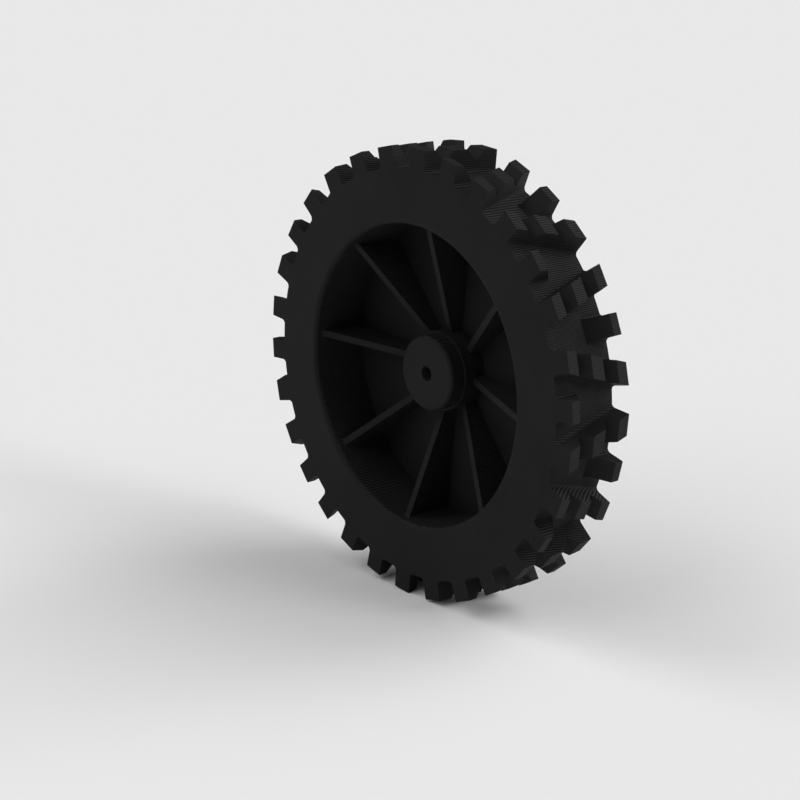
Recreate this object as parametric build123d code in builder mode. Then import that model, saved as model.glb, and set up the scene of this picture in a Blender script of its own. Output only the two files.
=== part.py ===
"""Wheel of a robotic mower: lugged tread, rim, closed back disc, eight sloping ribs and a stepped hub,
all moulded in one piece.  Millimetres; the axle runs along Y, the open front faces -Y, and +Z is up."""

import os
from math import cos, radians, sin, sqrt, tan

from build123d import *

# Overall
width = 32.0
turn = -5.7  # how far the wheel is turned about its axle, degrees

# Tread
lug_top = 100.0  # from the axle line to the flat top of a lug
lug_height = 9.2  # above the floor between the lugs
row_width = 4.1  # each of the three rows of lugs, along the axle
bar_count = 20  # slanted bars, leaning to one side and the other in turn
bar_width = 9.2
bar_slant = 17.5  # degrees between a bar and the axle
lug_root_round = 2.2

# Rim, back disc and ribs
rim_inside = 67.0
rim_edge_round = 2.0
disc_thickness = 4.0
rib_count = 8
rib_thickness = 3.0
rib_depth_at_rim = 4.7  # from the front face to a rib's front edge
rib_depth_at_hub = 21.8
rib_side_round = 1.0  # where a rib's sides meet the rim and the hub
rib_front_round = 2.5  # where its front edge curves up into the rim

# Hub
hub_radius = 17.8
nose_radius = 16.8  # the narrower front end of the hub
nose_length = 7.3
nose_depth = 10.0  # from the front face to the hub's nose
nose_edge_round = 1.5
bore_diameter = 6.5

front = -width / 2
back = width / 2
disc_front = back - disc_thickness
tread_floor = lug_top - lug_height
nose_face = front + nose_depth
hub_step = nose_face + nose_length
groove_width = (width - 3 * row_width) / 2
bar_pitch = 360 / bar_count
bury = 2.0  # how far lugs and ribs run into what carries them
dip = 0.1  # how far a round ends under the surface that it runs into


def through_axle(angle):
    """Plane through the axle at this angle: its x runs outwards, its y along the axle."""
    x_dir = (cos(radians(angle)), 0, sin(radians(angle)))
    z_dir = (-sin(radians(angle)), 0, cos(radians(angle)))
    return Plane(origin=(0, 0, 0), x_dir=x_dir, z_dir=z_dir)


def lug(slant, length):
    """A lug on the +X side, from the front face back; its long sides lean by slant and have rounded roots."""
    lean = tan(radians(slant))
    sideways = lean * length  # how far the lug's back end lies around the wheel from its front end
    middle_at_front = lean * front
    half_across = bar_width / cos(radians(slant)) / 2  # half its width measured around the wheel
    with BuildPart() as block:
        with BuildSketch(Plane(origin=(tread_floor - bury, front, 0), x_dir=(0, 1, 0), z_dir=(1, 0, 0))):
            with BuildLine():
                Polyline(
                    (0, middle_at_front - half_across),
                    (length, middle_at_front + sideways - half_across),
                    (length, middle_at_front + sideways + half_across),
                    (0, middle_at_front + half_across),
                    close=True,
                )
            make_face()
        extrude(amount=lug_top - tread_floor + bury)

        # The round's foot follows the tread floor, which falls away as a leaning side moves around the wheel
        for side in (-1, 1):
            edge = middle_at_front + side * half_across
            foot = edge + side * lug_root_round
            floor = sqrt(tread_floor**2 - foot**2) - dip
            drop = sqrt(tread_floor**2 - (foot + sideways) ** 2) - dip - floor
            with BuildSketch(Plane(origin=(0, front, 0), x_dir=(0, 0, 1), z_dir=(0, 1, 0))):
                with BuildLine():
                    CenterArc((foot, floor + lug_root_round), lug_root_round, 270, -90 * side)
                    Polyline(
                        (edge, floor + lug_root_round),
                        (edge, floor - bury),
                        (foot, floor - bury),
                        (foot, floor),
                    )
                make_face()
            run = Vector(drop, length, sideways)
            extrude(amount=run.length, dir=run)

        # Two grooves around the tread cut the lug down to the floor and leave three rows
        with BuildSketch(Plane.XY):
            for side in (-1, 1):
                with Locations((tread_floor, side * (row_width + groove_width) / 2)):
                    Rectangle(lug_top, groove_width, align=(Align.MIN, Align.CENTER))
        revolve(axis=Axis.Y, mode=Mode.SUBTRACT)
    return block.part


def around_tread(first):
    """Turns about the axle to every other place around the tread, counted in bar pitches."""
    places = [first + place for place in range(0, bar_count, 2)]
    return [Location((0, 0, 0), (0, -turn - place * bar_pitch, 0)) for place in places]


bar = lug(bar_slant, width)
bar_leaning_back = mirror(bar, about=Plane.XY)
front_lug = lug(0, row_width + groove_width / 2)
back_lug = mirror(front_lug, about=Plane.XZ)

with BuildPart() as wheel:
    # Rim, back disc and hub are one turned section
    with BuildSketch(Plane.XY) as section:
        with BuildLine():
            Polyline(
                (bore_diameter / 2, back),
                (tread_floor, back),
                (tread_floor, front),
                (rim_inside, front),
                (rim_inside, disc_front),
                (hub_radius, disc_front),
                (hub_radius, hub_step),
                (nose_radius, hub_step),
                (nose_radius, nose_face),
                (bore_diameter / 2, nose_face),
                close=True,
            )
        make_face()
        rim_corner = section.vertices().sort_by_distance((rim_inside, front))[0]
        fillet(rim_corner, rim_edge_round)
        nose_corner = section.vertices().sort_by_distance((nose_radius, nose_face))[0]
        fillet(nose_corner, nose_edge_round)
    revolve(axis=Axis.Y)

    # Bars right across the tread lean one way and the other in turn; straight lugs fill the wide gaps
    # between them, at the front and at the back in turn
    for piece, first in ((bar, 0), (bar_leaning_back, 1), (front_lug, 0.5), (back_lug, 1.5)):
        with Locations(*around_tread(first)):
            add(piece)

    # Ribs from the rim to the hub; their front edges slope back towards the hub and curve up into the rim
    fall = (rib_depth_at_hub - rib_depth_at_rim) / (rim_inside - hub_radius)
    rib_front_at_rim = front + rib_depth_at_rim
    with BuildSketch(*[through_axle(turn + rib * 360 / rib_count) for rib in range(rib_count)]) as rib_side:
        with BuildLine():
            Polyline(
                (hub_radius - bury, front + rib_depth_at_hub + fall * bury),
                (rim_inside + dip, rib_front_at_rim - fall * dip),
                (rim_inside + dip, rib_front_at_rim - rib_front_round),
                (rim_inside + bury, rib_front_at_rim - rib_front_round),
                (rim_inside + bury, disc_front + bury),
                (hub_radius - bury, disc_front + bury),
                close=True,
            )
        make_face()
        corner_at_rim = rib_side.vertices().sort_by_distance((rim_inside, rib_front_at_rim))[0]
        fillet(corner_at_rim, rib_front_round)
    extrude(amount=rib_thickness / 2 + rib_side_round, both=True)

    # Pockets down to the disc trim the ribs to their thickness, with a round wherever a side meets rim or hub
    across_first_rib = (cos(radians(turn)), 0, sin(radians(turn)))
    with BuildSketch(Plane(origin=(0, disc_front, 0), x_dir=across_first_rib, z_dir=(0, -1, 0))) as pockets:
        Circle(rim_inside)
        Circle(hub_radius, mode=Mode.SUBTRACT)
        with PolarLocations(0, rib_count):
            Rectangle(rim_inside, rib_thickness, align=(Align.MIN, Align.CENTER), mode=Mode.SUBTRACT)
        fillet(pockets.vertices(), rib_side_round)
    extrude(amount=disc_front - front, mode=Mode.SUBTRACT)

wheel.part.label = "wheel"

os.makedirs("parts", exist_ok=True)
export_step(wheel.part, "parts/wheel.step")
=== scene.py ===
"""Scene of a robotic mower's wheel: matte black plastic in fine level layers, on a pale floor."""

import math

import bmesh
import bpy
from mathutils import Matrix, Vector


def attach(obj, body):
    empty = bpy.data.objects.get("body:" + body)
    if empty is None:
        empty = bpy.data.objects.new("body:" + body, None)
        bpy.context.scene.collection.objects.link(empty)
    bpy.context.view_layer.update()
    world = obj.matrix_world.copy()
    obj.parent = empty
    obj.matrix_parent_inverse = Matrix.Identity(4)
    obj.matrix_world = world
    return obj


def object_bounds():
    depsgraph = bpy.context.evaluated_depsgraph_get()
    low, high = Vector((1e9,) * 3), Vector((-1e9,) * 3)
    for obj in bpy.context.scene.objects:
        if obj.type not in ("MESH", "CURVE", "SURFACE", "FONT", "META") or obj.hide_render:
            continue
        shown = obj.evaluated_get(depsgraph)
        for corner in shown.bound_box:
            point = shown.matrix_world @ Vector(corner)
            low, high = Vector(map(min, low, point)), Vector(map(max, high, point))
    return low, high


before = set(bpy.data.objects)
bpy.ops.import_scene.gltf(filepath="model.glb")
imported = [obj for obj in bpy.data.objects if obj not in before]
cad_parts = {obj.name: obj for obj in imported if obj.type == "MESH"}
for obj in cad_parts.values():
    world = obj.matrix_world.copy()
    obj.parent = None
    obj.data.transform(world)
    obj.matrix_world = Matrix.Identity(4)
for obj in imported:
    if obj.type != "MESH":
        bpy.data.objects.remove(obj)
cad_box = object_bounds()

# Camera, set to the photograph's viewing angle; metres and degrees
camera_place = (0.5959, -0.5199, 0.2097)
camera_yaw = 50.07
camera_pitch_down = 15.736
camera_lens = 83.64  # mm on a sensor 36 mm wide

# Tread, as in the frame; metres and degrees
wheel_turn = -5.7  # how far the wheel is turned about its axle
lug_top = 0.1000
tread_floor = 0.0908
tread_width = 0.0320
row_width = 0.0041
bar_count = 20
bar_width = 0.0092
bar_slant = 17.5
lug_root_round = 0.0022

# The lugs' bases: what is left between their rows
notch_depth = 0.0050  # of the V-shaped notches across the bars, below the lug tops
notch_slope = 1.3  # how steeply a notch falls, height over length along the axle
bury = 0.0015  # how far a base runs into the tread floor
dip = 0.0001  # how far a root round ends under the tread floor, as on the lugs themselves
root_steps = 8  # straight pieces in the quarter circle of a root
slope_sections = (0.004, 0.002, 0.001, -0.0005)  # heights of a slope's sections over the tread floor
merge_distance = 1e-7  # corners nearer to each other than this become one
sharp_edge = 30.0  # degrees between two faces from which their edge is sharp

# Layers of the wheel
layer_height = 0.00077  # the level layers that the wheel was built up in
layer_depth = 0.00012  # how far the joint between two layers lies under their crests
painted_layer_shading = 1.2  # swing in tone from painted shade in the joint to a painted highlight on the crest, as a share of the plain tone
layer_plain_height = 0.5  # the share of a bulge's height at which it has the plain tone

# Where the layers fade: a face shows all of them up to the first value and none from the second
fade_along_axle = (0.45, 0.85)  # its normal's part along the axle
fade_upwards = (0.86, 0.96)  # its normal's upright part

# Skin of the wheel
grain_size = 0.0006  # the fine tooth of the plastic's skin
grain_depth = 0.00006
grain_strength = 0.15
tone_patch_size = 0.03  # slow drift in tone across the wheel, between the next two colours
tone_dark_hex = "1C1C1C"
tone_light_hex = "202020"
tone_reach = (0.3, 0.7)  # the noise values at which the dark and the light colour are reached

# Floor
floor_size = 40.0
floor_hex = "EAEAEA"


def colour(hex_text):
    """An sRGB colour, written as six hex digits, as linear red, green, blue and alpha."""
    channels = [int(hex_text[i : i + 2], 16) / 255 for i in (0, 2, 4)]
    linear = [c / 12.92 if c <= 0.04045 else ((c + 0.055) / 1.055) ** 2.4 for c in channels]
    return (*linear, 1.0)


def add_node(tree, kind, inputs=None, **settings):
    """Adds a node, sets its properties, and sets or links its inputs by name or number."""
    node = tree.nodes.new(kind)
    for name, value in settings.items():
        setattr(node, name, value)
    for name, value in (inputs or {}).items():
        if isinstance(value, bpy.types.NodeSocket):
            tree.links.new(value, node.inputs[name])
        else:
            node.inputs[name].default_value = value
    return node


def new_material(name):
    """A material with an empty node tree."""
    material = bpy.data.materials.new(name)
    material.use_nodes = True
    material.node_tree.nodes.clear()
    return material


def layered_black_plastic():
    """Matte black plastic built up in level layers.

    The walls that run along the axle show the layers as fine level lines; the flat faces square to the
    axle are smooth.  The eye sees a dark grey without gloss, with a painted highlight on each layer's
    crest and painted shade in each joint."""
    material = new_material("layered_black_plastic")
    tree = material.node_tree
    place = add_node(tree, "ShaderNodeTexCoord")
    xyz = add_node(tree, "ShaderNodeSeparateXYZ", {0: place.outputs["Object"]})
    facing = add_node(tree, "ShaderNodeSeparateXYZ", {0: place.outputs["Normal"]})

    # Each layer bulges between two sharp joints; its height runs from 0 in a joint to 1 on the crest
    per_metre = math.pi / layer_height
    phase = add_node(tree, "ShaderNodeMath", {0: xyz.outputs["Z"], 1: per_metre}, operation="MULTIPLY")
    wave = add_node(tree, "ShaderNodeMath", {0: phase.outputs[0]}, operation="SINE")
    bulge = add_node(tree, "ShaderNodeMath", {0: wave.outputs[0]}, operation="ABSOLUTE")
    over_plain = {0: bulge.outputs[0], 1: layer_plain_height}
    crest = add_node(tree, "ShaderNodeMath", over_plain, operation="SUBTRACT")

    # The faces square to the axle are smooth, and so is whatever lies level
    along_axle = add_node(tree, "ShaderNodeMath", {0: facing.outputs["Y"]}, operation="ABSOLUTE")
    upwards = add_node(tree, "ShaderNodeMath", {0: facing.outputs["Z"]}, operation="ABSOLUTE")
    wall = add_node(
        tree,
        "ShaderNodeMapRange",
        {
            "Value": along_axle.outputs[0],
            "From Min": fade_along_axle[0],
            "From Max": fade_along_axle[1],
            "To Min": 1.0,
            "To Max": 0.0,
        },
        interpolation_type="SMOOTHSTEP",
    )
    steep = add_node(
        tree,
        "ShaderNodeMapRange",
        {
            "Value": upwards.outputs[0],
            "From Min": fade_upwards[0],
            "From Max": fade_upwards[1],
            "To Min": 1.0,
            "To Max": 0.0,
        },
        interpolation_type="SMOOTHSTEP",
    )
    both_masks = {0: wall.outputs[0], 1: steep.outputs[0]}
    layered = add_node(tree, "ShaderNodeMath", both_masks, operation="MULTIPLY")

    # On a slope the layers stand out as stairs
    stair = add_node(tree, "ShaderNodeMath", {0: upwards.outputs[0], 1: 1.0}, operation="ADD")
    on_slopes = {0: layered.outputs[0], 1: stair.outputs[0]}
    stairs = add_node(tree, "ShaderNodeMath", on_slopes, operation="MULTIPLY")
    masked_crest = {0: crest.outputs[0], 1: stairs.outputs[0]}
    layers = add_node(tree, "ShaderNodeMath", masked_crest, operation="MULTIPLY")

    # Fine tooth of the skin
    tooth = {"Vector": place.outputs["Object"], "Scale": 1 / grain_size, "Detail": 2.0, "Roughness": 0.5}
    grain = add_node(tree, "ShaderNodeTexNoise", tooth)
    skin = add_node(
        tree,
        "ShaderNodeBump",
        {"Strength": grain_strength, "Distance": grain_depth, "Height": grain.outputs["Fac"]},
    )
    ridges = add_node(
        tree,
        "ShaderNodeBump",
        {
            "Strength": 1.0,
            "Distance": layer_depth,
            "Height": layers.outputs[0],
            "Normal": skin.outputs["Normal"],
        },
    )

    # A slow drift in tone
    drift = add_node(
        tree,
        "ShaderNodeTexNoise",
        {
            "Vector": place.outputs["Object"],
            "Scale": 1 / tone_patch_size,
            "Detail": 3.0,
            "Roughness": 0.6,
        },
    )
    tone = add_node(tree, "ShaderNodeValToRGB", {"Fac": drift.outputs["Fac"]})
    tone.color_ramp.elements[0].position = tone_reach[0]
    tone.color_ramp.elements[0].color = colour(tone_dark_hex)
    tone.color_ramp.elements[1].position = tone_reach[1]
    tone.color_ramp.elements[1].color = colour(tone_light_hex)

    # A layer is barely two pixels high, too fine for its relief to show, so its shading is painted into
    # the colour:
    # painted shade in the joint and a painted highlight on the crest
    painted_shading_terms = {0: layers.outputs[0], 1: painted_layer_shading, 2: 1.0}
    painted_shading = add_node(tree, "ShaderNodeMath", painted_shading_terms, operation="MULTIPLY_ADD")
    painted_tone = add_node(
        tree,
        "ShaderNodeVectorMath",
        {"Vector": tone.outputs["Color"], "Scale": painted_shading.outputs[0]},
        operation="SCALE",
    )

    shader = add_node(
        tree,
        "ShaderNodeBsdfPrincipled",
        {
            "Base Color": painted_tone.outputs["Vector"],
            "Roughness": 0.6,
            "Specular IOR Level": 0.07,
            "Normal": ridges.outputs["Normal"],
        },
    )
    add_node(tree, "ShaderNodeOutputMaterial", {"Surface": shader.outputs["BSDF"]})
    return material


def pale_floor():
    """Matt painted board: an even pale grey that takes the wheel's soft shadows."""
    material = new_material("pale_matt_board")
    tree = material.node_tree
    shader = add_node(
        tree,
        "ShaderNodeBsdfPrincipled",
        {"Base Color": colour(floor_hex), "Roughness": 1.0, "Specular IOR Level": 0.0},
    )
    add_node(tree, "ShaderNodeOutputMaterial", {"Surface": shader.outputs["BSDF"]})
    return material


def base_section(slant, y, top):
    """Outline of a lug's base across the lug at y, up to this height: round roots at both sides."""
    lean = math.tan(math.radians(slant))
    half_across = bar_width / math.cos(math.radians(slant)) / 2
    middle = lean * y
    from_middle = y / tread_width
    outline = []
    for side in (-1, 1):
        foot = middle + side * (half_across + lug_root_round)

        # The foot's line runs straight from one side of the tread to the other, as on the lugs
        feet = [foot + lean * (end - y) for end in (-tread_width / 2, tread_width / 2)]
        floors = [math.sqrt(tread_floor**2 - end**2) - dip for end in feet]
        floor = floors[0] * (0.5 - from_middle) + floors[1] * (0.5 + from_middle)

        root = []
        for step in range(root_steps + 1):
            angle = math.pi / 2 * step / root_steps
            sideways = foot - side * lug_root_round * math.sin(angle)
            height = floor + lug_root_round * (1 - math.cos(angle))
            root.append(Vector((min(height, top), y, sideways)))
        root.append(Vector((top, y, middle + side * half_across)))
        root.insert(0, Vector((floor - bury, y, foot)))
        outline += root if side < 0 else root[::-1]
    return outline


def add_base(shell, slant, stations, place, leaning_back=False):
    """A closed base through sections at these (y, top) stations, set at this place around the tread."""
    rings = [[shell.verts.new(point) for point in base_section(slant, y, top)] for y, top in stations]
    count = len(rings[0])
    for ring, following in zip(rings, rings[1:]):
        for i in range(count):
            j = (i + 1) % count
            shell.faces.new((ring[i], ring[j], following[j], following[i]))
    shell.faces.new(rings[0])
    shell.faces.new(rings[-1][::-1])
    corners = [corner for ring in rings for corner in ring]
    if leaning_back:
        bmesh.ops.scale(shell, vec=(1, 1, -1), verts=corners)
    bar_pitch = 2 * math.pi / bar_count
    around = Matrix.Rotation(-math.radians(wheel_turn) - place * bar_pitch, 3, "Y")
    bmesh.ops.rotate(shell, matrix=around, verts=corners)


def lug_bases():
    """What joins the three rows of lugs near the tread floor, for two bars and two straight lugs.

    Each bar has two V-shaped notches, and each straight lug slopes down to the tread floor."""
    inner_edge = row_width / 2
    outer_edge = tread_width / 2 - row_width
    flat = (outer_edge - inner_edge) / 2 - notch_depth / notch_slope  # lug top left beside a notch
    shell = bmesh.new()
    for side in (-1, 1):
        # Places along the axle, each with the base's height there
        notch = [
            (side * inner_edge, lug_top),
            (side * (inner_edge + flat), lug_top),
            (side * (inner_edge + outer_edge) / 2, lug_top - notch_depth),
            (side * (outer_edge - flat), lug_top),
            (side * outer_edge, lug_top),
        ]
        add_base(shell, bar_slant, notch, 0)
        add_base(shell, bar_slant, notch, 1, leaning_back=True)
        heights = [lug_top] + [tread_floor + height for height in slope_sections]
        ramp = [(side * (outer_edge - (lug_top - height) / notch_slope), height) for height in heights]
        add_base(shell, 0, ramp, 0.5 if side < 0 else 1.5)
    bmesh.ops.remove_doubles(shell, verts=shell.verts, dist=merge_distance)
    bmesh.ops.recalc_face_normals(shell, faces=shell.faces)
    mesh = bpy.data.meshes.new("lug_bases")
    shell.to_mesh(mesh)
    shell.free()
    return mesh


def around_the_axle():
    """Node tree that repeats a geometry a number of times about the axle and gives it a material."""
    tree = bpy.data.node_groups.new("around_the_axle", "GeometryNodeTree")
    tree.interface.new_socket("Geometry", in_out="INPUT", socket_type="NodeSocketGeometry")
    tree.interface.new_socket("Count", in_out="INPUT", socket_type="NodeSocketInt")
    tree.interface.new_socket("Material", in_out="INPUT", socket_type="NodeSocketMaterial")
    tree.interface.new_socket("Geometry", in_out="OUTPUT", socket_type="NodeSocketGeometry")

    given = add_node(tree, "NodeGroupInput")
    points = add_node(tree, "GeometryNodePoints", {"Count": given.outputs["Count"]})
    index = add_node(tree, "GeometryNodeInputIndex")
    turn_by_count = {0: 2 * math.pi, 1: given.outputs["Count"]}
    step = add_node(tree, "ShaderNodeMath", turn_by_count, operation="DIVIDE")
    index_by_step = {0: index.outputs[0], 1: step.outputs[0]}
    angle = add_node(tree, "ShaderNodeMath", index_by_step, operation="MULTIPLY")
    turned = add_node(tree, "ShaderNodeCombineXYZ", {"Y": angle.outputs[0]})
    copies = add_node(
        tree,
        "GeometryNodeInstanceOnPoints",
        {
            "Points": points.outputs[0],
            "Instance": given.outputs["Geometry"],
            "Rotation": turned.outputs[0],
        },
    )
    real = add_node(tree, "GeometryNodeRealizeInstances", {"Geometry": copies.outputs[0]})
    finished = add_node(
        tree,
        "GeometryNodeSetMaterial",
        {"Geometry": real.outputs[0], "Material": given.outputs["Material"]},
    )
    add_node(tree, "NodeGroupOutput", {"Geometry": finished.outputs[0]})
    return tree


def set_input(modifier, name, value):
    """Sets a node modifier's input by its name in the tree."""
    sockets = modifier.node_group.interface.items_tree
    socket = next(item for item in sockets if item.name == name and item.in_out == "INPUT")
    modifier[socket.identifier] = value


def add_lug_bases(material):
    """The bases all around the tread, as one plain mesh."""
    bases = bpy.data.objects.new("lug_bases", lug_bases())
    bpy.context.scene.collection.objects.link(bases)
    modifier = bases.modifiers.new("around_the_axle", "NODES")
    modifier.node_group = around_the_axle()
    set_input(modifier, "Count", bar_count // 2)
    set_input(modifier, "Material", material)
    evaluated = bases.evaluated_get(bpy.context.evaluated_depsgraph_get())
    mesh = bpy.data.meshes.new_from_object(evaluated)
    bases.modifiers.clear()
    bases.data = mesh
    mesh.shade_smooth()
    mesh.set_sharp_from_angle(angle=math.radians(sharp_edge))
    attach(bases, "root")


def add_floor():
    """A wide level floor under the lowest lugs."""
    half = floor_size / 2
    level = cad_box[0][2]
    mesh = bpy.data.meshes.new("floor")
    corners = [(-half, -half, level), (half, -half, level), (half, half, level), (-half, half, level)]
    mesh.from_pydata(corners, [], [(0, 1, 2, 3)])
    mesh.materials.append(pale_floor())
    floor = bpy.data.objects.new("floor", mesh)
    bpy.context.scene.collection.objects.link(floor)


def add_sun(name, azimuth, elevation, strength, width):
    """A far soft lamp seen from the wheel at this azimuth, from +X towards +Y, and elevation."""
    around = math.radians(azimuth)
    up = math.radians(elevation)
    level = math.cos(up)
    towards_lamp = Vector((math.cos(around) * level, math.sin(around) * level, math.sin(up)))
    data = bpy.data.lights.new(name, "SUN")
    data.energy = strength
    data.angle = math.radians(width)
    lamp = bpy.data.objects.new(name, data)
    lamp.rotation_euler = towards_lamp.to_track_quat("Z", "Y").to_euler()
    bpy.context.scene.collection.objects.link(lamp)


def add_camera():
    """The camera at the photograph's place."""
    data = bpy.data.cameras.new("camera")
    data.lens = camera_lens
    camera = bpy.data.objects.new("camera", data)
    camera.location = camera_place
    camera.rotation_euler = (math.radians(90 - camera_pitch_down), 0, math.radians(camera_yaw))
    bpy.context.scene.collection.objects.link(camera)
    bpy.context.scene.camera = camera


def light_world(strength):
    """An even white sky of this strength; the floor hides it from the camera."""
    world = bpy.data.worlds.new("pale_sky")
    bpy.context.scene.world = world
    world.use_nodes = True
    background = world.node_tree.nodes["Background"]
    background.inputs["Color"].default_value = (1, 1, 1, 1)
    background.inputs["Strength"].default_value = strength


plastic = layered_black_plastic()
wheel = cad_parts["wheel"]
wheel.data.materials.clear()
wheel.data.materials.append(plastic)
add_lug_bases(plastic)

add_camera()
add_floor()

# Soft light, two thirds of it from the camera's right and the rest from its left
light_world(0.1)
add_sun("lamp_right_front", 15, 46, 0.71, 40)
add_sun("lamp_low_right_front", 18, 26, 0.70, 20)
add_sun("lamp_right", 60, 38, 0.67, 40)
add_sun("lamp_right_behind", 75, 52, 0.53, 40)
add_sun("lamp_low_right_behind", 75, 10, 0.46, 15)
add_sun("lamp_left_front", 270, 40, 0.66, 40)
add_sun("lamp_left", 215, 48, 0.85, 40)
bpy.context.scene.view_settings.view_transform = "Standard"
